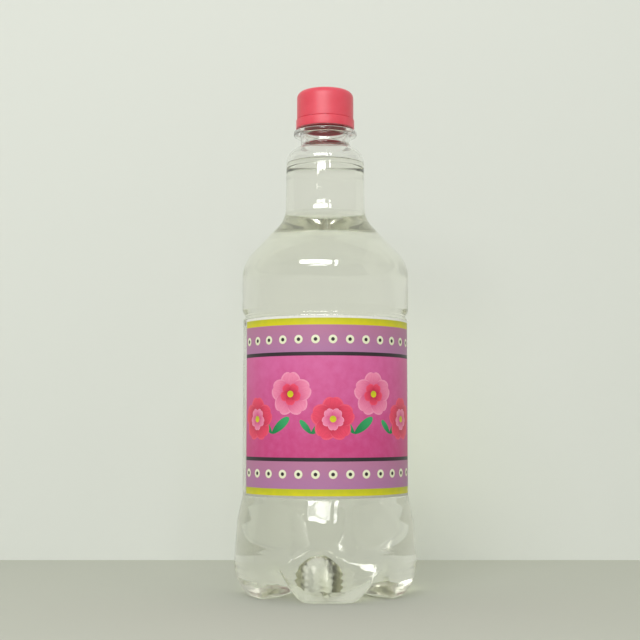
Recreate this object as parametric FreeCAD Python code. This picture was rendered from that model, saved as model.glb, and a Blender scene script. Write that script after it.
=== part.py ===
import FreeCAD, Part
import math
import os

# A one-litre clear PET bottle of rose water: the blown bottle on its five feet, its screw cap,
# the wrap label in its recessed panel, and the rose water up to its level in the neck.
# Millimetres, +Z up. The origin is on the axis, at the plane that the feet stand on.
# The middle of the label faces about -Y.

# Body: one radius drives the lower section, and the panel and the band follow it
body_radius = 45.9             # widest radius, just above the feet
wall = 0.4                     # wall of the blown body

# Lower section
lower_height = 48.9            # from the ground to the label panel
lower_taper = 1.2              # how much narrower the lower section is where it starts to round in
lower_rounded_height = 12.0    # how far below the panel it starts to round in
lower_top_rounding = 23.4

# Feet
foot_count = 5
front_foot_angle = -87.5       # direction of one foot, in degrees from +X
foot_corner_overhang = 0.7     # from the widest radius out to the corner that the side rounds off
foot_corner_height = 8.8
foot_corner_rounding = 21.0
foot_inset = 6.4               # from the widest radius in to the outer edge of the standing ring
foot_outer_rounding = 4.3
foot_ring_width = 14.0
foot_inner_rounding = 14.0
foot_edge_rounding = 3.6       # where the feet round over into the valleys
base_rise = 5.2                # height of the middle of the base
base_middle_radius = 6.0
base_middle_rounding = 4.0

# Valleys between the feet
valley_middle_height = 6.0     # floor of the valleys on the axis
valley_wall_height = 16.0      # floor of the valleys where they run out of the side
valley_floor_radius = 3.0
valley_flare = 34.0            # slope of a valley's sides from its own middle plane, in degrees
valley_reach = 50.0            # sweep of each valley from the axis, in degrees
valley_depth = 30.0            # how far the cut reaches outwards from the valley floor

# Label panel, and the groove above it
panel_recess = 3.9             # from the widest radius in to the panel
panel_height = 88.9
panel_rounding = 1.5
groove_depth = 0.9
groove_height = 1.0
groove_slope_height = 1.2      # height of the slope into the groove
groove_rise_height = 2.6       # height of the slope out of it, up to the band
groove_rounding = 0.8

# Upper band and dome
band_overhang = 0.5            # how far the band stands out from the panel
band_height = 24.5             # up to the corner that the dome rounds off
band_rounding = 2.6
dome_height = 23.2             # from that corner up to the corner at the foot of the neck
dome_rounding = 17.6

# Wide neck
neck_radius = 20.0             # at its top
neck_taper = 0.5               # how much wider its foot is
neck_height = 35.3
neck_foot_rounding = 14.4
neck_top_rounding = 8.0
neck_shoulder_rise = 2.4

# Finish that carries the cap
finish_radius = 13.0           # above the support ring, inside the cap
finish_wall = 2.15
finish_height = 19.5           # from the support ring to the rim
shank_recess = 0.3             # how much narrower the shank below the ring is
shank_height = 6.0
shank_rounding = 1.6
ring_overhang = 3.3
ring_thickness = 2.1
ring_rounding = 0.45
rim_rounding = 0.4
bore_rounding = 3.0

# Screw cap
cap_wall = 1.58
cap_corner_rounding = 3.6
cap_top_thickness = 1.7
cap_gap = 1.5                  # between the support ring and the cap
cap_bore_clearance = 0.12      # between the finish and the inside of the skirt
cap_edge_rounding = 0.3
tamper_band_overhang = 0.4
tamper_band_height = 4.6
tamper_edge_rounding = 0.15
tamper_slit_height = 0.35
tamper_slit_depth = 0.4

# Wrap label
label_angle = -85.2            # direction of the label's middle, in degrees from +X
label_wrap = 150.0             # in degrees
label_bottom_margin = 0.7      # between the lower end of the panel and the label
label_top_margin = 0.6         # between the label and the upper end of the panel
label_thickness = 0.12
label_glue = 0.03              # film of glue between the panel and the label

# Rose water
level_below_neck_top = 7.2
water_clearance = 0.05         # between the water and the inside of the wall

join_tolerance = 0.001         # how near an edge lies to a face that it belongs to
rim_margin = 1.0               # how far the cut for the inside reaches above the rim

# Sizes and heights that follow
panel_radius = body_radius - panel_recess
panel_top = lower_height + panel_height
groove_bottom = panel_top + groove_slope_height
groove_top = groove_bottom + groove_height
band_bottom = groove_top + groove_rise_height
neck_foot_height = band_bottom + band_height + dome_height
neck_top_height = neck_foot_height + neck_height
shank_bottom = neck_top_height + neck_shoulder_rise
ring_bottom = shank_bottom + shank_height
ring_top = ring_bottom + ring_thickness
rim_height = ring_top + finish_height
shank_radius = finish_radius - shank_recess
bore_radius = finish_radius - finish_wall


def direction(start, end):
    """Unit vector from one (radius, height) point to another."""
    length = math.dist(start, end)
    return (end[0] - start[0]) / length, (end[1] - start[1]) / length


def body_corners():
    """Outside of the blown body, as (radius, height, rounding), from the axis to the shank."""
    foot_outer_radius = body_radius - foot_inset
    groove_radius = panel_radius - groove_depth
    band_radius = panel_radius + band_overhang
    return [
        (0.0, base_rise, 0.0),
        (base_middle_radius, base_rise, base_middle_rounding),
        (foot_outer_radius - foot_ring_width, 0.0, foot_inner_rounding),
        (foot_outer_radius, 0.0, foot_outer_rounding),
        (body_radius + foot_corner_overhang, foot_corner_height, foot_corner_rounding),
        (body_radius - lower_taper, lower_height - lower_rounded_height, lower_top_rounding),
        (panel_radius, lower_height, panel_rounding),
        (panel_radius, panel_top, panel_rounding),
        (groove_radius, groove_bottom, groove_rounding),
        (groove_radius, groove_top, groove_rounding),
        (band_radius, band_bottom, band_rounding),
        (band_radius, band_bottom + band_height, dome_rounding),
        (neck_radius + neck_taper, neck_foot_height, neck_foot_rounding),
        (neck_radius, neck_top_height, neck_top_rounding),
        (shank_radius, shank_bottom, shank_rounding),
    ]


def finish_corners():
    """Outside of the finish, from its shank over the support ring to the rim and the axis."""
    return [
        (shank_radius, ring_bottom, shank_rounding / 2),
        (finish_radius + ring_overhang, ring_bottom, ring_rounding),
        (finish_radius + ring_overhang, ring_top, ring_rounding),
        (finish_radius, ring_top, ring_rounding),
        (finish_radius, rim_height, rim_rounding),
        (0.0, rim_height, 0.0),
    ]


def inset_corners(corners, depth):
    """The same outline moved inwards by depth, from the axis to the bore."""
    lines = []
    for (r0, z0, _), (r1, z1, _) in zip(corners, corners[1:]):
        dr, dz = direction((r0, z0), (r1, z1))
        lines.append(((r0 - dz * depth, z0 + dr * depth), (dr, dz)))
    inset = [(0.0, lines[0][0][1], 0.0)]
    for (p, a), (q, b), (_, _, rounding) in zip(lines, lines[1:], corners[1:]):
        turn = a[0] * b[1] - a[1] * b[0]
        along = ((q[0] - p[0]) * b[1] - (q[1] - p[1]) * b[0]) / turn
        side = -1.0 if turn > 0 else 1.0
        inset.append((p[0] + a[0] * along, p[1] + a[1] * along, rounding + side * depth))
    (r, z), (dr, dz) = lines[-1]
    inset.append((bore_radius, z + (bore_radius - r) * dz / dr, bore_rounding))
    return inset


def profile_point(point):
    """A (radius, height) point in the XZ plane."""
    return FreeCAD.Vector(point[0], 0, point[1])


def line(start, end):
    return Part.LineSegment(profile_point(start), profile_point(end)).toShape()


def rounded_edges(corners):
    """Straight edges between the corners of an outline, with a tangent arc at each rounded one."""
    edges = []
    last = corners[0][:2]
    for before, (r, z, rounding), after in zip(corners, corners[1:], corners[2:]):
        arrive = direction(before[:2], (r, z))
        leave = direction((r, z), after[:2])
        turn = math.acos(arrive[0] * leave[0] + arrive[1] * leave[1])
        reach = rounding * math.tan(turn / 2)
        start = (r - arrive[0] * reach, z - arrive[1] * reach)
        end = (r + leave[0] * reach, z + leave[1] * reach)
        edges.append(line(last, start))
        if rounding > 0:
            sagitta = rounding * (1 / math.cos(turn / 2) - 1)
            inward = direction((r, z), ((start[0] + end[0]) / 2, (start[1] + end[1]) / 2))
            middle = (r + inward[0] * sagitta, z + inward[1] * sagitta)
            edges.append(Part.Arc(profile_point(start), profile_point(middle), profile_point(end)).toShape())
        last = end
    edges.append(line(last, corners[-1][:2]))
    return edges


def turned(corners, angle=360.0):
    """Solid turned about the Z axis from a closed outline of corners."""
    edges = rounded_edges(corners) + [line(corners[-1][:2], corners[0][:2])]
    face = Part.Face(Part.Wire(edges))
    return face.revolve(FreeCAD.Vector(0, 0, 0), FreeCAD.Vector(0, 0, 1), angle)


def valley_centre_height():
    """Height on the axis of the centre of the valleys' arc, which runs from the axis to the side."""
    rise = valley_wall_height - valley_middle_height
    return valley_middle_height + (body_radius ** 2 + rise ** 2) / (2 * rise)


def valley(depth, angle):
    """Cutter for one valley: a rounded V swept along an arc from the axis out through the side."""
    flare = math.radians(valley_flare)
    floor_radius = valley_floor_radius + depth
    floor_centre = valley_middle_height - valley_floor_radius
    bottom = valley_middle_height - valley_depth
    side_y = floor_radius * math.cos(flare)
    side_z = floor_centre + floor_radius * math.sin(flare)
    bottom_y = side_y + (side_z - bottom) * math.tan(flare)
    left = FreeCAD.Vector(0, -side_y, side_z)
    right = FreeCAD.Vector(0, side_y, side_z)
    top = FreeCAD.Vector(0, 0, floor_centre + floor_radius)
    bottom_left = FreeCAD.Vector(0, -bottom_y, bottom)
    bottom_right = FreeCAD.Vector(0, bottom_y, bottom)
    section = Part.Wire([
        Part.Arc(left, top, right).toShape(),
        Part.LineSegment(right, bottom_right).toShape(),
        Part.LineSegment(bottom_right, bottom_left).toShape(),
        Part.LineSegment(bottom_left, left).toShape(),
    ])
    centre = FreeCAD.Vector(0, 0, valley_centre_height())
    cutter = Part.Face(section).revolve(centre, FreeCAD.Vector(0, -1, 0), valley_reach)
    cutter.rotate(FreeCAD.Vector(0, 0, 0), FreeCAD.Vector(0, 0, 1), angle)
    return cutter


def foot_edges(solid, blank, cutters):
    """Edges that lie on the blank and on a cutter too: the rims of the feet."""
    edges = []
    for edge in solid.Edges:
        middle = Part.Vertex(edge.valueAt((edge.FirstParameter + edge.LastParameter) / 2))
        on_blank = blank.Shells[0].distToShape(middle)[0] < join_tolerance
        if on_blank and min(cutter.Shells[0].distToShape(middle)[0] for cutter in cutters) < join_tolerance:
            edges.append(edge)
    return edges


def with_feet(blank, depth):
    """The turned blank with the valleys cut into its base, which leaves the feet."""
    step = 360.0 / foot_count
    cutters = [valley(depth, front_foot_angle + (i + 0.5) * step) for i in range(foot_count)]
    solid = blank.cut(cutters).Solids[0]
    return solid.makeFillet(foot_edge_rounding - depth, foot_edges(solid, blank, cutters))


def inside(depth):
    """Space inside the body at a depth from its outside, up to just above the rim."""
    above_rim = rim_height + rim_margin
    corners = inset_corners(body_corners(), depth)
    blank = turned(corners + [(bore_radius, above_rim, 0.0), (0.0, above_rim, 0.0)])
    return with_feet(blank, depth)


def bottle():
    outside = with_feet(turned(body_corners() + finish_corners()), 0.0)
    return outside.cut(inside(wall)).Solids[0]


def screw_cap():
    """The cap with its tamper band, seated on the rim, with a plain bore over the finish."""
    bore = finish_radius + cap_bore_clearance
    radius = bore + cap_wall
    band_radius = radius + tamper_band_overhang
    bottom = ring_top + cap_gap
    top = rim_height + cap_top_thickness
    slit_bottom = bottom + tamper_band_height
    slit_top = slit_bottom + tamper_slit_height
    return turned([
        (0.0, rim_height, 0.0),
        (bore, rim_height, 0.0),
        (bore, bottom, cap_edge_rounding),
        (band_radius, bottom, cap_edge_rounding),
        (band_radius, slit_bottom, tamper_edge_rounding),
        (radius - tamper_slit_depth, slit_bottom, 0.0),
        (radius - tamper_slit_depth, slit_top, 0.0),
        (radius, slit_top, tamper_edge_rounding),
        (radius, top, cap_corner_rounding),
        (0.0, top, 0.0),
    ])


def wrap_label():
    inner = panel_radius + label_glue
    outer = inner + label_thickness
    bottom = lower_height + label_bottom_margin
    top = panel_top - label_top_margin
    corners = [(inner, bottom, 0.0), (outer, bottom, 0.0), (outer, top, 0.0), (inner, top, 0.0)]
    label = turned(corners, label_wrap)
    label.rotate(FreeCAD.Vector(0, 0, 0), FreeCAD.Vector(0, 0, 1), label_angle - label_wrap / 2)
    return label


def rose_water():
    """The space inside the bottle, filled up to the level in the neck."""
    level = neck_top_height - level_below_neck_top
    width = 3 * body_radius
    above = Part.makeBox(width, width, rim_height, FreeCAD.Vector(-width / 2, -width / 2, level))
    return inside(wall + water_clearance).cut(above).Solids[0]


parts = {
    "bottle": bottle(),
    "screw_cap": screw_cap(),
    "wrap_label": wrap_label(),
    "rose_water": rose_water(),
}

os.makedirs("parts", exist_ok=True)
for name, shape in parts.items():
    shape.exportStep("parts/" + name + ".step")
    print(f"{name}: {len(shape.Solids)} solid, valid {shape.isValid()}, {shape.Volume / 1000:.1f} cm3")
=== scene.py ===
# %% [markdown]
# # A one-litre bottle of rose water
# The real object is a clear bottle blown from PET, with a pink screw cap, a paper label wrapped round
# its recessed panel, and rose water up into the neck. Each piece is modelled in its own cells.
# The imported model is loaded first, because every size and place has to agree with it.

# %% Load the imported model
import math

import bpy
import numpy as np
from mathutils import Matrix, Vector
from mathutils.bvhtree import BVHTree


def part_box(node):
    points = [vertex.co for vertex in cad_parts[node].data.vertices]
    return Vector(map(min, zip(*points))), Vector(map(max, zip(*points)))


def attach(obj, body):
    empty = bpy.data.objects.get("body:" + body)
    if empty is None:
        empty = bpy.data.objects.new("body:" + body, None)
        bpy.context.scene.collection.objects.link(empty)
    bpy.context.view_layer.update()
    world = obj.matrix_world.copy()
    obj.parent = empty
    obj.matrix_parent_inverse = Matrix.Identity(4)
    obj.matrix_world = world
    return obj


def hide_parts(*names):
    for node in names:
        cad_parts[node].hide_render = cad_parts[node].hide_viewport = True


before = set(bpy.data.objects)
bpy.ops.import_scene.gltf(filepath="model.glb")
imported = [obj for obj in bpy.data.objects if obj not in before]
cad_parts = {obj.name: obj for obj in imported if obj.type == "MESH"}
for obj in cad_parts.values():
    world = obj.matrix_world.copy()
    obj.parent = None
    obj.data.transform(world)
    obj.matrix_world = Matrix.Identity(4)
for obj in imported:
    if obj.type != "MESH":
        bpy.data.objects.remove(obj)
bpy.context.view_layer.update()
MM = 0.001
bottle_low, bottle_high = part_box("bottle")
print("bottle box in mm:", [round(v / MM, 2) for v in (*bottle_low, *bottle_high)])

# %% [markdown]
# ## The bottle's outline
# A blown bottle is a turned shape apart from its feet, so one outline from the middle of the base up
# to the neck describes it. It is kept as corners with a rounding each, in millimetres, as on a maker's
# drawing: every bend can then be changed by one number, and the inside is the same outline moved in.

# %% Corners of the body and of the finish
body_radius = 45.9
rim_height = bottle_high.z / MM
wall = 0.4
bore_radius = 10.85
body_corners = [
    (0.0, 5.2, 0.0), (6.0, 5.2, 4.0), (25.5, 0.0, 14.0), (39.5, 0.0, 4.3),
    (46.6, 8.8, 21.0), (44.7, 36.9, 23.4), (42.0, 48.9, 1.5), (42.0, 137.8, 1.5),
    (41.1, 139.0, 0.8), (41.1, 140.0, 0.8), (42.5, 142.6, 2.6), (42.5, 167.1, 17.6),
    (20.5, 190.3, 14.4), (20.0, 225.6, 8.0), (12.7, 228.0, 1.6),
]
finish_corners = [
    (12.7, 234.0, 0.8), (16.3, 234.0, 0.45), (16.3, 236.1, 0.45), (13.0, 236.1, 0.45),
    (13.0, rim_height, 0.4), (bore_radius + 0.4, rim_height, 0.0),
]
print("widest radius:", round(body_radius, 2), "mm, rim at", round(rim_height, 2), "mm")


# %% Round the corners of an outline
def heading(start, end):
    """Unit vector from one (radius, height) point to another."""
    length = math.dist(start[:2], end[:2])
    return (end[0] - start[0]) / length, (end[1] - start[1]) / length


def run(points, end, step):
    """Adds points to the outline, evenly along a straight run."""
    start = points[-1]
    count = max(1, math.ceil(math.dist(start, end) / step))
    for i in range(1, count + 1):
        share = i / count
        points.append((start[0] + (end[0] - start[0]) * share, start[1] + (end[1] - start[1]) * share))


def outline(corners, step=3.5, arc_step=9.0):
    """Points along the straight runs and round corners, from the first corner to the last."""
    points = [corners[0][:2]]
    for before, here, after in zip(corners, corners[1:], corners[2:]):
        arrive, leave = heading(before, here), heading(here, after)
        cross = arrive[0] * leave[1] - arrive[1] * leave[0]
        turn = math.acos(max(-1.0, min(1.0, arrive[0] * leave[0] + arrive[1] * leave[1])))
        reach = here[2] * math.tan(turn / 2)
        start = (here[0] - arrive[0] * reach, here[1] - arrive[1] * reach)
        if math.dist(start, points[-1]) > 0.001:
            run(points, start, step)
        side = (-arrive[1], arrive[0]) if cross > 0 else (arrive[1], -arrive[0])
        count = max(3, math.ceil(math.degrees(turn) / arc_step)) if here[2] > 0 else 0
        for i in range(1, count + 1):
            along, across = here[2] * math.sin(turn * i / count), here[2] * (1 - math.cos(turn * i / count))
            points.append((start[0] + arrive[0] * along + side[0] * across,
                           start[1] + arrive[1] * along + side[1] * across))
    run(points, corners[-1][:2], step)
    return points


# %% Move an outline inwards, for the inside of the wall
def inset(corners, depth):
    """The same corners moved in by depth, with the same centre for every rounding."""
    lines = [((a[0] - heading(a, b)[1] * depth, a[1] + heading(a, b)[0] * depth), heading(a, b))
             for a, b in zip(corners, corners[1:])]
    moved = [(0.0, lines[0][0][1], 0.0)]
    for (p, a), (q, b), corner in zip(lines, lines[1:], corners[1:]):
        cross = a[0] * b[1] - a[1] * b[0]
        along = ((q[0] - p[0]) * b[1] - (q[1] - p[1]) * b[0]) / cross
        rounding = corner[2] + (-depth if cross > 0 else depth)
        moved.append((p[0] + a[0] * along, p[1] + a[1] * along, rounding))
    return moved, lines[-1]


# %% [markdown]
# ## Turn an outline into a skin
# On a lathe drawing the outline is turned round the axis. Here a plane is merged to one vertex, which is
# extruded from point to point along the outline, and the spin tool turns that line into a skin. It gives
# clean rings of faces that refract without facets. A cylinder with bevels would have poles and pinches.

# %% Spin an outline into a skin
turns = 192


def deselect():
    if bpy.context.object and bpy.context.object.mode == "EDIT":
        bpy.ops.object.mode_set(mode="OBJECT")
    bpy.ops.object.select_all(action="DESELECT")


def draw(name, points):
    """A single vertex extruded along points of (radius, height), in millimetres, in the XZ plane."""
    deselect()
    bpy.ops.mesh.primitive_plane_add(size=MM, location=(0, 0, 0))
    line = bpy.context.object
    line.name = line.data.name = name
    bpy.ops.object.mode_set(mode="EDIT")
    bpy.ops.mesh.select_all(action="SELECT")
    bpy.ops.mesh.merge(type="CENTER")
    bpy.ops.transform.translate(value=(points[0][0] * MM, 0, points[0][1] * MM))
    for a, b in zip(points, points[1:]):
        move = ((b[0] - a[0]) * MM, 0, (b[1] - a[1]) * MM)
        bpy.ops.mesh.extrude_region_move(TRANSFORM_OT_translate={"value": move})
    return line


def spin(line, angle=math.tau, steps=turns):
    """Turns the drawn line round the Z axis, and closes the skin where it meets itself and the axis."""
    bpy.ops.mesh.select_all(action="SELECT")
    bpy.ops.mesh.spin(steps=steps, angle=angle, center=(0, 0, 0), axis=(0, 0, 1))
    bpy.ops.mesh.select_all(action="SELECT")
    bpy.ops.mesh.remove_doubles(threshold=0.000002)
    bpy.ops.mesh.normals_make_consistent(inside=False)
    bpy.ops.object.mode_set(mode="OBJECT")
    bpy.ops.object.shade_smooth()
    return line


# %% [markdown]
# ## The five feet
# A bottle for pressure stands on five blown feet with valleys between them. On the real mould each valley
# is a rounded V on an arc from the middle of the base out through the side. The turned skin could be cut
# with five cutters, but a boolean leaves slivers that show in clear plastic. Every vertex near the base is
# moved towards a point inside the bottle instead, until it lies on the rounded shape, as in sculpting.

# %% Measure how far a point is from the outline and from the nearest valley
foot_count, front_foot, foot_edge = 5, math.radians(-87.5), 3.6
valley_middle, valley_side, valley_floor, valley_flare = 6.0, 16.0, 3.0, math.radians(34.0)
valley_rise = valley_side - valley_middle
valley_centre = valley_middle + (body_radius ** 2 + valley_rise ** 2) / (2 * valley_rise)


def to_outline(radius, height, points):
    """Shortest distance from points inside the skin to its outline."""
    a, b = np.array(points[:-1]), np.array(points[1:])
    p = np.stack([radius, height], 1)[:, None, :]
    along = np.clip(((p - a) * (b - a)).sum(2) / ((b - a) ** 2).sum(1), 0, 1)
    return np.sqrt(((p - a - along[..., None] * (b - a)) ** 2).sum(2)).min(1)


def to_valley(p, depth):
    """Distance to the nearest valley's rounded V, less than nothing inside it."""
    pitch = math.tau / foot_count
    around = np.arctan2(p[:, 1], p[:, 0]) - front_foot
    around = around % pitch - pitch / 2
    radius = np.hypot(p[:, 0], p[:, 1])
    across = np.abs(radius * np.sin(around))
    from_centre = np.hypot(radius * np.cos(around), valley_centre - p[:, 2])
    above = valley_centre - from_centre - valley_middle + valley_floor
    flank = across * math.cos(valley_flare) + above * math.sin(valley_flare)
    on_flank = across * math.sin(valley_flare) > above * math.cos(valley_flare)
    return np.where(on_flank, flank, np.hypot(across, above)) - valley_floor - depth


# %% Press the feet into a skin
foot_top = 30.0
search_steps, deepest_move = 26, 0.85


def with_feet(skin, points, depth):
    """Moves the skin's lower vertices towards a point on the axis until they meet the feet and valleys."""
    co = np.array([v.co for v in skin.data.vertices]) / MM
    low = np.flatnonzero(co[:, 2] < foot_top - 2)
    start, target = co[low], np.array([0.0, 0.0, foot_top])
    near = [p for p in points if p[1] < foot_top + 12]
    edge = foot_edge - depth
    shallow, deep = np.zeros(len(low)), np.full(len(low), deepest_move)
    for _ in range(search_steps):
        middle = (shallow + deep) / 2
        p = start + (target - start) * middle[:, None]
        a = -to_outline(np.hypot(p[:, 0], p[:, 1]), p[:, 2], near)
        b = -to_valley(p, depth)
        f = np.minimum(-edge, np.maximum(a, b)) + np.hypot(np.maximum(a + edge, 0), np.maximum(b + edge, 0))
        shallow, deep = np.where(f > 1e-6, middle, shallow), np.where(f > 1e-6, deep, middle)
    moved = np.where(deep > 1e-4, deep, 0)
    co[low] = start + (target - start) * moved[:, None]
    skin.data.vertices.foreach_set("co", (co * MM).astype(np.float32).ravel())
    skin.data.update()
    return skin


# %% [markdown]
# ## The bottle's wall
# The bottle is one wall of PET, 0.4 mm thick in the body and thicker in the finish. It is made as an outer
# and an inner skin that meet at the rim. A solidify modifier would give the body the same wall, but not the
# finish, whose bore stays straight under the ring.

# %% Outer and inner skin, joined at the rim
def fine(corners):
    """The outline with short runs in the base, where the feet are pressed in."""
    points = outline(corners)
    close = [points[0]]
    for p in points[1:]:
        run(close, p, 1.25 if min(p[1], close[-1][1]) < foot_top else 3.5)
    return close


outer_points = fine(body_corners + finish_corners)
bottle = with_feet(spin(draw("pet_bottle", outer_points)), outer_points, 0.0)
inner_corners, (start, slope) = inset(body_corners, wall)
inner_corners.append((bore_radius, start[1] + (bore_radius - start[0]) * slope[1] / slope[0], 3.0))
inner_corners += [(bore_radius, rim_height - 0.4, 0.0), (bore_radius + 0.4, rim_height, 0.0)]
inner_points = fine(inner_corners)
inside = with_feet(spin(draw("inner_skin", inner_points)), inner_points, wall)
print("points in the outer and inner outline:", len(outer_points), len(inner_points))

# %% Join the two skins
deselect()
inside.select_set(True)
bottle.select_set(True)
bpy.context.view_layer.objects.active = bottle
bpy.ops.object.join()
bpy.ops.object.mode_set(mode="EDIT")
bpy.ops.mesh.select_all(action="SELECT")
bpy.ops.mesh.remove_doubles(threshold=0.000005)
bpy.ops.mesh.normals_make_consistent(inside=False)
bpy.ops.object.mode_set(mode="OBJECT")
print("bottle faces:", len(bottle.data.polygons))

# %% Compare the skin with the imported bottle
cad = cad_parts["bottle"].data
tree = BVHTree.FromPolygons([v.co for v in cad.vertices], [tuple(p.vertices) for p in cad.polygons])
gaps = [tree.find_nearest(v.co)[3] / MM for v in bottle.data.vertices]
mean_gap = sum(gaps) / len(gaps)
print("distance from the packed bottle, largest and mean:", round(max(gaps), 3), round(mean_gap, 3), "mm")

# %% [markdown]
# ## The rose water
# The water fills the bottle to a level in the neck. In a clear wall, a gap of air between water and plastic
# would shine like a mirror, so the water's skin lies a tenth of a millimetre inside the wall. Its surface
# climbs a little where it wets the wall, and that thin bright ring is what marks the level.

# %% Fill the bottle
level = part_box("rose_water")[1].z / MM
wet_rise = 0.8
water_depth = wall - 0.1
water_corners, _ = inset(body_corners, water_depth)
foot, top = water_corners[-2], water_corners[-1]
wet_radius = foot[0] + (top[0] - foot[0]) * (level + wet_rise - foot[1]) / (top[1] - foot[1])
water_corners = water_corners[:-1] + [
    (wet_radius, level + wet_rise, 0.0), (wet_radius - 0.4, level + 0.42, 0.0),
    (wet_radius - 1.0, level + 0.15, 0.0),
    (wet_radius - 2.0, level, 0.0), (0.0, level, 0.0),
]
water_points = fine(water_corners)
water = with_feet(spin(draw("rose_water_fill", water_points)), water_points, water_depth)
print("water level:", round(level, 2), "mm, wetted radius", round(wet_radius, 2), "mm")

# %% [markdown]
# ## The screw cap
# The cap is injection moulded in polyethylene: a smooth skirt, a rounded top edge, and below a thin slit the
# tamper band, which stands out a little. It is turned from its own outline, like the bottle, and the small
# bridges that hold the band are one beveled cube, copied round the slit.

# %% Turn the cap
cap_low, cap_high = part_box("screw_cap")
cap_bottom, cap_top, band_radius = cap_low.z / MM, cap_high.z / MM, cap_high.x / MM
cap_radius, cap_bore, slit_bottom, slit_height = 14.7, 13.12, cap_bottom + 4.6, 0.35
cap_points = outline([
    (0.0, rim_height + 0.02, 0.0), (cap_bore, rim_height + 0.02, 0.0), (cap_bore, cap_bottom, 0.3),
    (band_radius, cap_bottom, 0.3), (band_radius, slit_bottom, 0.15), (cap_radius - 0.4, slit_bottom, 0.0),
    (cap_radius - 0.4, slit_bottom + slit_height, 0.0), (cap_radius, slit_bottom + slit_height, 0.15),
    (cap_radius - 0.05, cap_top, 3.4), (10.2, cap_top, 0.3), (9.9, cap_top - 0.12, 0.2),
    (0.0, cap_top - 0.12, 0.0),
], step=2.0, arc_step=9.0)
cap = spin(draw("cap", cap_points), steps=144)
print("cap from", round(cap_bottom, 2), "to", round(cap_top, 2), "mm")

# %% Bridges across the slit, and the gate mark on top
bridge_count = 12


def take(name):
    made = bpy.context.object
    made.name = made.data.name = name
    return made


def apply_place(piece):
    deselect()
    piece.select_set(True)
    bpy.context.view_layer.objects.active = piece
    bpy.ops.object.transform_apply(location=True, rotation=True, scale=True)


deselect()
bpy.ops.mesh.primitive_cube_add(size=MM, location=((cap_radius - 0.2) * MM, 0, (slit_bottom + 0.175) * MM))
bridge = take("bridge")
bridge.scale = (0.5, 0.9, 0.5)
apply_place(bridge)
bpy.ops.object.mode_set(mode="EDIT")
bpy.ops.mesh.select_all(action="SELECT")
bpy.ops.mesh.bevel(offset=0.08 * MM, segments=2)
bpy.ops.object.mode_set(mode="OBJECT")
bridges = [bridge]
for i in range(1, bridge_count):
    copy = bridge.copy()
    copy.data = bridge.data.copy()
    bpy.context.collection.objects.link(copy)
    copy.rotation_euler = (0, 0, math.tau * i / bridge_count)
    apply_place(copy)
    bridges.append(copy)
deselect()
gate_place = (0, 0, (cap_top - 0.12) * MM)
bpy.ops.mesh.primitive_cylinder_add(vertices=32, radius=1.1 * MM, depth=0.2 * MM, location=gate_place)
gate = take("gate")
bpy.ops.object.mode_set(mode="EDIT")
bpy.ops.mesh.select_all(action="SELECT")
bpy.ops.mesh.bevel(offset=0.05 * MM, segments=2)
bpy.ops.object.mode_set(mode="OBJECT")
apply_place(gate)
deselect()
for piece in bridges + [gate, cap]:
    piece.select_set(True)
bpy.context.view_layer.objects.active = cap
bpy.ops.object.join()
print("cap faces:", len(cap.data.polygons))

# %% [markdown]
# ## The label, laid flat
# The label is a strip of coated paper printed on the outside. Its print is made as thin fields of colour
# laid flat over each other and wrapped round the panel at the end. It is a generic border design: a pink
# field with a row of small blossoms and leaf pairs, between lilac bands with dots and yellow stripes.
# Nothing is lettered. Each shape starts as a circle or a plane and is shaped in edit mode.

# %% Sizes of the flat sheet
label_low, label_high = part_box("wrap_label")
label_radius = 42.15
label_turn = math.radians(-85.2)
label_wrap = math.radians(150.0)
label_width = label_wrap * label_radius
label_height = (label_high.z - label_low.z) / MM
layer = 0.004
shapes = []
print("label, flat:", round(label_width, 1), "by", round(label_height, 1), "mm")


# %% Flat shapes: discs, petals, plates and leaves
def lay(shape, finish, level, across=0.0, up=0.0, turn=0.0):
    """Gives a flat shape its own map, from -1 to 1 each way, its place on the sheet, and its finish."""
    co = np.array([v.co for v in shape.data.vertices])
    low, high = co.min(0), co.max(0)
    uv = shape.data.uv_layers[0] if shape.data.uv_layers else shape.data.uv_layers.new(name="print")
    uv.name = "print"
    for loop in shape.data.loops:
        p = shape.data.vertices[loop.vertex_index].co
        uv.data[loop.index].uv = [(p[k] - low[k]) / (high[k] - low[k]) * 2 - 1 for k in (0, 1)]
    shape.rotation_euler = (0, 0, turn)
    shape.location = (across * MM, up * MM, level * layer * MM)
    apply_place(shape)
    shape.data.materials.clear()
    shape.data.materials.append(finish)
    shapes.append(shape)
    return shape


def disc(name, width, height, corners=48):
    """A filled circle, drawn out into an oval."""
    deselect()
    bpy.ops.mesh.primitive_circle_add(vertices=corners, radius=1.0, fill_type="NGON")
    shape = take(name)
    shape.scale = (width / 2 * MM, height / 2 * MM, 1)
    apply_place(shape)
    return shape


def plate(name, width, height, rounding):
    """A plane whose four corners are beveled round."""
    deselect()
    bpy.ops.mesh.primitive_plane_add(size=1.0)
    shape = take(name)
    shape.scale = (width * MM, height * MM, 1)
    apply_place(shape)
    bpy.ops.object.mode_set(mode="EDIT")
    bpy.ops.mesh.select_all(action="SELECT")
    bpy.ops.mesh.bevel(offset=rounding * MM, segments=6, affect="VERTICES")
    bpy.ops.object.mode_set(mode="OBJECT")
    return shape


def petal(name, width, length, notch=0.08, taper=0.45):
    """A disc narrowed at its base and dented a little at its tip, with its base at the origin."""
    shape = disc(name, width, length, 40)
    for v in shape.data.vertices:
        along = v.co.y / (length / 2 * MM)
        v.co.x *= 1 - taper * max(0.0, -along) ** 1.2 + 0.08 * max(0.0, along)
        middle = max(0.0, 1 - abs(v.co.x) / (width * 0.28 * MM))
        v.co.y -= notch * length * MM * middle * middle * max(0.0, along)
        v.co.y += length / 2 * MM
    return shape


# %% [markdown]
# ## Inks and paper
# The label is offset printed on coated paper: even colour with a faint mottle, under a thin varnish that
# gives a soft sheen. One finish serves all inks, with two colours and where each lies on a shape.

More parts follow.
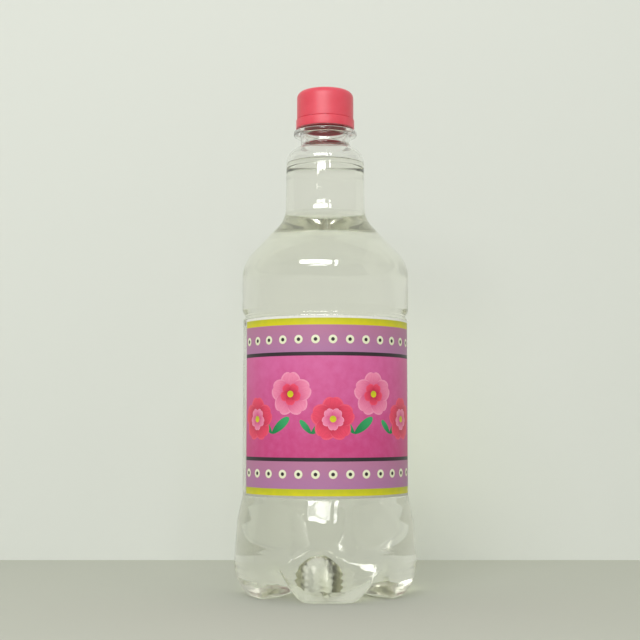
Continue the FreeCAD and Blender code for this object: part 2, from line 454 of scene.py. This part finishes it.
# %% Colours and nodes
def linear(colour):
    """An sRGB hex colour as the linear colour that a shader takes."""
    parts = [int(colour[i:i + 2], 16) / 255 for i in (1, 3, 5)]
    return [c / 12.92 if c <= 0.04045 else ((c + 0.055) / 1.055) ** 2.4 for c in parts] + [1.0]


def add_node(tree, kind, inputs, **settings):
    """Adds a node with its settings. An input takes a value, or a socket that is linked to it."""
    made = tree.nodes.new("ShaderNode" + kind)
    for name, value in settings.items():
        setattr(made, name, value)
    for name, value in inputs.items():
        if isinstance(value, bpy.types.NodeSocket):
            tree.links.new(value, made.inputs[name])
        else:
            made.inputs[name].default_value = value
    return made


def new_finish(name):
    """An empty material with its output node."""
    made = bpy.data.materials.new(name)
    made.use_nodes = True
    made.node_tree.nodes.clear()
    return made, made.node_tree, made.node_tree.nodes.new("ShaderNodeOutputMaterial")


def mix(tree, factor, first, second, blend="MIX"):
    """Colour between first and second."""
    values = {0: factor, 6: first, 7: second}
    return add_node(tree, "Mix", values, data_type="RGBA", blend_type=blend).outputs[2]


# %% Printed ink: two colours over a shape, mottled, under varnish
def ink(name, base, tip, spread="along", rim=None, streak=0.25, veins=0.0):
    """Ink that shades from base to tip along or out across its shape, with a rim and veins where given."""
    made, tree, out = new_finish("offset_ink_" + name)
    shape_map = add_node(tree, "UVMap", {}, uv_map="print")
    place = add_node(tree, "TexCoord", {})
    parts = add_node(tree, "SeparateXYZ", {0: shape_map.outputs[0]})
    reach = add_node(tree, "VectorMath", {0: shape_map.outputs[0]}, operation="LENGTH")
    along = reach.outputs["Value"] if spread == "out" else parts.outputs[1]
    low = 0.0 if spread == "out" else -1.0
    mottle = add_node(tree, "TexNoise", {"Vector": place.outputs["Object"], "Scale": 260.0, "Detail": 4.0})
    shift = add_node(tree, "MapRange", {0: mottle.outputs[0], 3: -streak, 4: streak})
    blend = add_node(tree, "Math", {0: along, 1: shift.outputs[0]}, operation="ADD")
    share = add_node(tree, "MapRange", {0: blend.outputs[0], 1: low, 2: 1.0},
                     interpolation_type="SMOOTHSTEP")
    colour = mix(tree, share.outputs[0], linear(base), linear(tip))
    if rim:
        edge = add_node(tree, "MapRange", {0: reach.outputs["Value"], 1: 0.88, 2: 0.97},
                        interpolation_type="SMOOTHSTEP")
        colour = mix(tree, edge.outputs[0], colour, linear(rim))
    if veins:
        fan = add_node(tree, "Mapping", {0: shape_map.outputs[0], "Scale": (7.0, 0.8, 1.0)})
        lines = add_node(tree, "TexNoise", {"Vector": fan.outputs[0], "Scale": 1.6, "Detail": 3.0})
        depth = add_node(tree, "MapRange", {0: lines.outputs[0], 1: 0.35, 2: 0.65})
        colour = mix(tree, depth.outputs[0], mix(tree, veins, colour, linear(base)), colour)
    grain = add_node(tree, "TexNoise", {"Vector": place.outputs["Object"], "Scale": 2500.0, "Detail": 2.0})
    dots = add_node(tree, "MapRange", {0: grain.outputs[0], 3: 0.94, 4: 1.04})
    colour = mix(tree, 1.0, colour, add_node(tree, "CombineColor", {
        0: dots.outputs[0], 1: dots.outputs[0], 2: dots.outputs[0]}).outputs[0], "MULTIPLY")
    rough = add_node(tree, "MapRange", {0: mottle.outputs[0], 3: 0.34, 4: 0.5})
    shader = add_node(tree, "BsdfPrincipled", {
        "Base Color": colour, "Roughness": rough.outputs[0], "Specular IOR Level": 0.4})
    tree.links.new(shader.outputs[0], out.inputs[0])
    return made


yellow = ink("yellow", "#D8D014", "#BFC020", streak=0.9)
field = ink("pink_field", "#C8407E", "#D868A4", streak=0.7)
lilac = ink("lilac", "#B078A4", "#B8789C", streak=0.6)
aubergine = ink("aubergine", "#33202C", "#2B2A2C", streak=0.7)
petal_red = ink("blossom_red", "#B82044", "#F04A6C", rim="#F25C7C", veins=0.25)
petal_pink = ink("blossom_pink", "#D2457C", "#F290B4", rim="#F4A0C0", veins=0.25)
leaf_green = ink("leaf_green", "#16804A", "#38A868")
cream = ink("cream", "#E6E8C6", "#ECEED2", streak=0.5)
print("inks:", len([m for m in bpy.data.materials if m.name.startswith("offset_ink")]))

# %% Fields, bands and stripes across the sheet
middle = label_height / 2
stripe_height, band_height, line_height = 4.0, 14.0, 1.8
dot_pitch, dot_count = 8.4, 13
sheet_width = label_width - 1.0
lay(plate("field", sheet_width, label_height - 1.0, 0.4), field, 1, 0, middle)
for side in (-1, 1):
    edge = middle + side * (label_height - 1.0) / 2
    band_middle = edge - side * (stripe_height + band_height / 2)
    lay(plate("stripe", sheet_width, stripe_height, 0.3), yellow, 2, 0, edge - side * stripe_height / 2)
    lay(plate("band", sheet_width, band_height, 0.3), lilac, 2, 0, band_middle)
    lay(plate("line", sheet_width, line_height, 0.3), aubergine, 3, 0, band_middle - side * band_height / 2)
    for i in range(dot_count):
        across = (i - (dot_count - 1) / 2) * dot_pitch
        lay(disc("dot", 4.2, 4.2, 24), cream, 4, across, band_middle)
        lay(disc("dot_middle", 1.8, 1.8, 16), aubergine, 5, across, band_middle)
print("shapes in the bands:", len(shapes))

# %% Blossoms and leaf pairs in a row
blossom_pitch, blossom_rise = 21.0, 6.0
for i in range(5):
    across, up = (i - 2) * blossom_pitch, middle + blossom_rise * (1 if i % 2 else -1)
    finish, inner_finish = (petal_pink, petal_red) if i % 2 else (petal_red, petal_pink)
    for count, width, length, first, ink_used, level_from in ((5, 10.5, 11.0, 0.0, finish, 2),
                                                              (5, 5.0, 5.6, 0.63, inner_finish, 7)):
        for k in range(count):
            turn = first + math.tau * k / count
            lay(petal("petal", width, length), ink_used, level_from + k, across, up, turn)
    lay(disc("blossom_middle", 3.2, 3.2, 24), yellow, 12, across, up)
for i in range(4):
    across, up = (i - 1.5) * blossom_pitch, middle - 13.0
    for turn, length, level in ((-0.9, 12.5, 3), (0.7, 8.5, 4)):
        lay(petal("leaf", length * 0.34, length, 0.0, 0.3), leaf_green, level, across, up, turn)
print("flat shapes:", len(shapes))

# %% [markdown]
# ## Wrap the print round the panel
# On the line the label is glued round the bottle. The flat print is cut into strips two millimetres wide
# with the bisect tool, all on the same lines, so that every layer bends at the same places and none cuts
# through another. Then each strip goes round the panel as a flat facet: a point bent by itself would stand
# off the facets by more than the print is thick, and the colours would show through each other.

# %% Cut into strips and wrap
deselect()
for shape in shapes:
    shape.select_set(True)
artwork = shapes[0]
bpy.context.view_layer.objects.active = artwork
bpy.ops.object.join()
artwork.name = artwork.data.name = "label_print"


def wrap(piece):
    """Cuts a flat piece into strips and bends it round the panel, face outwards."""
    deselect()
    piece.select_set(True)
    bpy.context.view_layer.objects.active = piece
    bpy.ops.object.mode_set(mode="EDIT")
    strip = 2.0
    for i in range(-int(label_width / 2 / strip), int(label_width / 2 / strip) + 1):
        bpy.ops.mesh.select_all(action="SELECT")
        bpy.ops.mesh.bisect(plane_co=(i * strip * MM, 0, 0), plane_no=(1, 0, 0))
    bpy.ops.object.mode_set(mode="OBJECT")
    for v in piece.data.vertices:
        across = v.co.x / MM
        left = strip * math.floor(across / strip + 1e-4)
        share = (across - left) / strip
        ends = [label_turn + (left + side * strip) / label_radius for side in (0, 1)]
        radius = label_radius * MM + v.co.z
        x = math.cos(ends[0]) * (1 - share) + math.cos(ends[1]) * share
        y = math.sin(ends[0]) * (1 - share) + math.sin(ends[1]) * share
        v.co = Vector((radius * x, radius * y, label_low.z + v.co.y))
    piece.data.update()
    bpy.ops.object.shade_smooth()


# The sheet was cut to size after printing, so the print ends a little inside its edges.
bpy.ops.object.mode_set(mode="EDIT")
for place, away in (((0, 1.2, 0), (0, -1, 0)), ((0, label_height - 1.2, 0), (0, 1, 0)),
                    ((-label_width / 2 + 1, 0, 0), (-1, 0, 0)), ((label_width / 2 - 1, 0, 0), (1, 0, 0))):
    bpy.ops.mesh.select_all(action="SELECT")
    bpy.ops.mesh.bisect(plane_co=[v * MM for v in place], plane_no=away, clear_outer=True)
bpy.ops.object.mode_set(mode="OBJECT")
wrap(artwork)
print("print faces:", len(artwork.data.polygons), "in", len(artwork.data.materials), "inks")

# %% The paper under the print
deselect()
bpy.ops.mesh.primitive_plane_add(size=1.0, location=(0, label_height / 2 * MM, 0))
paper = take("label_paper")
paper.scale = (label_width * MM, label_height * MM, 1)
apply_place(paper)
wrap(paper)
deselect()
paper.select_set(True)
bpy.context.view_layer.objects.active = paper
thickness = paper.modifiers.new("thickness", "SOLIDIFY")
thickness.thickness = 0.12 * MM
thickness.offset = -1
bpy.ops.object.modifier_apply(modifier="thickness")
print("paper faces:", len(paper.data.polygons))

# %% [markdown]
# ## PET, water and polyethylene
# Stretch-blown PET is clear with a high gloss. Its wall is never quite even, so what is seen through it
# wavers, and a faint line runs up each side where the halves of the mould met. Both come from a bump. Lamps
# would throw a full shadow behind clear plastic, so rays on their way to a lamp pass through instead.


# %% Clear materials that let lamps through
def clear(name, colour, shadow, index, roughness, bump=None):
    """A clear material: it bends what is seen through it, and tints the light that passes to a lamp."""
    made, tree, out = new_finish(name)
    shader = add_node(tree, "BsdfPrincipled", {
        "Base Color": linear(colour), "Transmission Weight": 1.0, "IOR": index, "Roughness": roughness})
    if bump:
        tree.links.new(bump(tree), shader.inputs["Normal"])
    path = add_node(tree, "LightPath", {})
    passing = add_node(tree, "BsdfTransparent", {0: linear(shadow)})
    both = add_node(tree, "MixShader", {
        0: path.outputs["Is Shadow Ray"], 1: shader.outputs[0], 2: passing.outputs[0]})
    tree.links.new(both.outputs[0], out.inputs[0])
    return made


def wavy_wall(tree):
    """Uneven wall: waves about 20 mm long, and the two mould lines at the sides."""
    place = add_node(tree, "TexCoord", {})
    waves = add_node(tree, "TexNoise", {"Vector": place.outputs["Object"], "Scale": 45.0, "Detail": 1.0})
    parts = add_node(tree, "SeparateXYZ", {0: place.outputs["Object"]})
    near_seam = add_node(tree, "Math", {0: parts.outputs[1]}, operation="ABSOLUTE")
    seam = add_node(tree, "MapRange", {0: near_seam.outputs[0], 1: 0.0, 2: 0.00035, 3: 0.12, 4: 0.0},
                    interpolation_type="SMOOTHSTEP")
    height = add_node(tree, "Math", {0: waves.outputs[0], 1: seam.outputs[0]}, operation="ADD")
    relief = {"Height": height.outputs[0], "Distance": 0.0006, "Strength": 1.0}
    return add_node(tree, "Bump", relief).outputs[0]


pet = clear("stretch_blown_pet", "#FEFEFD", "#FAFAF6", 1.57, 0.02, wavy_wall)
water_look = clear("rose_water", "#FCFCF8", "#E6E8E0", 1.333, 0.0)


# %% Moulded polyethylene: satin, a little cloudy, with fine mould texture
def moulded_cap():
    made, tree, out = new_finish("injection_moulded_polyethylene")
    place = add_node(tree, "TexCoord", {})
    cloud = add_node(tree, "TexNoise", {"Vector": place.outputs["Object"], "Scale": 90.0, "Detail": 3.0})
    share = add_node(tree, "MapRange", {0: cloud.outputs[0], 1: 0.3, 2: 0.7})
    colour = mix(tree, share.outputs[0], linear("#E2495A"), linear("#E9586A"))
    rough = add_node(tree, "MapRange", {0: cloud.outputs[0], 3: 0.3, 4: 0.42})
    grain = add_node(tree, "TexNoise", {"Vector": place.outputs["Object"], "Scale": 1800.0, "Detail": 2.0})
    relief = add_node(tree, "Bump", {"Height": grain.outputs[0], "Distance": 0.00004, "Strength": 0.6})
    shader = add_node(tree, "BsdfPrincipled", {
        "Base Color": colour, "Roughness": rough.outputs[0], "Normal": relief.outputs[0], "IOR": 1.51,
        "Subsurface Weight": 0.5, "Subsurface Radius": (1.0, 0.35, 0.35), "Subsurface Scale": 0.003})
    tree.links.new(shader.outputs[0], out.inputs[0])
    return made


def coated_paper():
    made, tree, out = new_finish("coated_paper")
    place = add_node(tree, "TexCoord", {})
    fibre = add_node(tree, "TexNoise", {"Vector": place.outputs["Object"], "Scale": 900.0, "Detail": 5.0})
    share = add_node(tree, "MapRange", {0: fibre.outputs[0], 1: 0.3, 2: 0.7})
    colour = mix(tree, share.outputs[0], linear("#E4E4DC"), linear("#F0F0EA"))
    shader = add_node(tree, "BsdfPrincipled", {"Base Color": colour, "Roughness": 0.6})
    tree.links.new(shader.outputs[0], out.inputs[0])
    return made


# %% Put the finishes on, and set each piece in the frame
pieces = [
    (bottle, pet, "bottle", "clear_pet"), (water, water_look, "rose_water", "rose_water"),
    (cap, moulded_cap(), "screw_cap", "cap_plastic"), (paper, coated_paper(), "wrap_label", "label_paper"),
    (artwork, None, None, "label_paper"),
]
for piece, finish, node, slot in pieces:
    if finish:
        piece.data.materials.clear()
        piece.data.materials.append(finish)
    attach(piece, "root")
    if node:
        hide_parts(node)
print("pieces:", [piece[0].name for piece in pieces])

# %% [markdown]
# ## Table, backdrop, lamps and camera
# The bottle stands on a plain pale table in front of a plain wall. What shows in clear plastic is mostly
# what stands around it, so the wall is near. It is painted on one side only: from behind it isn't there.


# %% Table and wall
def painted(name, colour, one_sided=False):
    made, tree, out = new_finish(name)
    shader = add_node(tree, "BsdfPrincipled", {
        "Base Color": linear(colour), "Roughness": 0.8, "Specular IOR Level": 0.2})
    surface = shader.outputs[0]
    if one_sided:
        side = add_node(tree, "NewGeometry", {})
        nothing = add_node(tree, "BsdfTransparent", {})
        shown = {0: side.outputs["Backfacing"], 1: surface, 2: nothing.outputs[0]}
        surface = add_node(tree, "MixShader", shown).outputs[0]
    tree.links.new(surface, out.inputs[0])
    return made


deselect()
bpy.ops.mesh.primitive_plane_add(size=1.7, location=(0, 0, 0))
table = take("table")
table.data.materials.append(painted("matt_table", "#C8CABF"))
deselect()
bpy.ops.mesh.primitive_plane_add(size=1.7, location=(0, 0.154, 0.84), rotation=(math.radians(90), 0, 0))
wall_plane = take("wall")
apply_place(wall_plane)
wall_plane.data.materials.append(painted("matt_wall", "#E0E3DD", one_sided=True))
print("wall faces", tuple(round(c) for c in wall_plane.data.polygons[0].normal))


# %% Lamps
def lamp(name, azimuth, elevation, distance, width, height, power):
    """A soft box at a distance from the bottle's middle, turned towards it."""
    a, e = math.radians(azimuth), math.radians(elevation)
    away = Vector((math.sin(a) * math.cos(e), -math.cos(a) * math.cos(e), math.sin(e)))
    light = bpy.data.lights.new(name, "AREA")
    light.shape, light.size, light.size_y, light.energy = "RECTANGLE", width, height, power
    holder = bpy.data.objects.new(name, light)
    bpy.context.collection.objects.link(holder)
    holder.location = Vector((0, 0, 0.13)) + away * distance
    holder.rotation_euler = away.to_track_quat("Z", "Y").to_euler()
    return holder


lamp("window", -14, 28.0, 1.5, 1.05, 0.33, 10.2)
lamp("window_side", 15.5, 28.0, 1.5, 0.13, 0.33, 1.3)
lamp("window_foot", -12, 17.4, 1.5, 0.62, 0.058, 1.1)
lamp("window_foot_side", 13.5, 17.4, 1.5, 0.10, 0.058, 0.18)
world = bpy.data.worlds.new("room")
world.use_nodes = True
world.node_tree.nodes["Background"].inputs[0].default_value = linear("#DEDED8")
world.node_tree.nodes["Background"].inputs[1].default_value = 0.74
bpy.context.scene.world = world

# %% Camera
view_distance, eye_height, pitch = 0.640, 0.085, 4.76
camera_data = bpy.data.cameras.new("camera")
camera_data.sensor_width = 36.0
camera_data.lens = 36.0 * 1250 / 640
camera = bpy.data.objects.new("camera", camera_data)
bpy.context.collection.objects.link(camera)
camera.location = (-0.0027, -view_distance, eye_height)
camera.rotation_euler = (math.radians(90 + pitch), 0, 0)
bpy.context.scene.camera = camera
bpy.context.scene.view_settings.view_transform = "Standard"
# Light is thrown to and fro in the neck and the feet, so both kinds of bounce get a high limit.
bpy.context.scene.cycles.max_bounces = 96
bpy.context.scene.cycles.transmission_bounces = 96
bpy.context.scene.cycles.glossy_bounces = 64
bpy.context.scene.cycles.transparent_max_bounces = 24
print("lens:", round(camera_data.lens, 2), "mm")
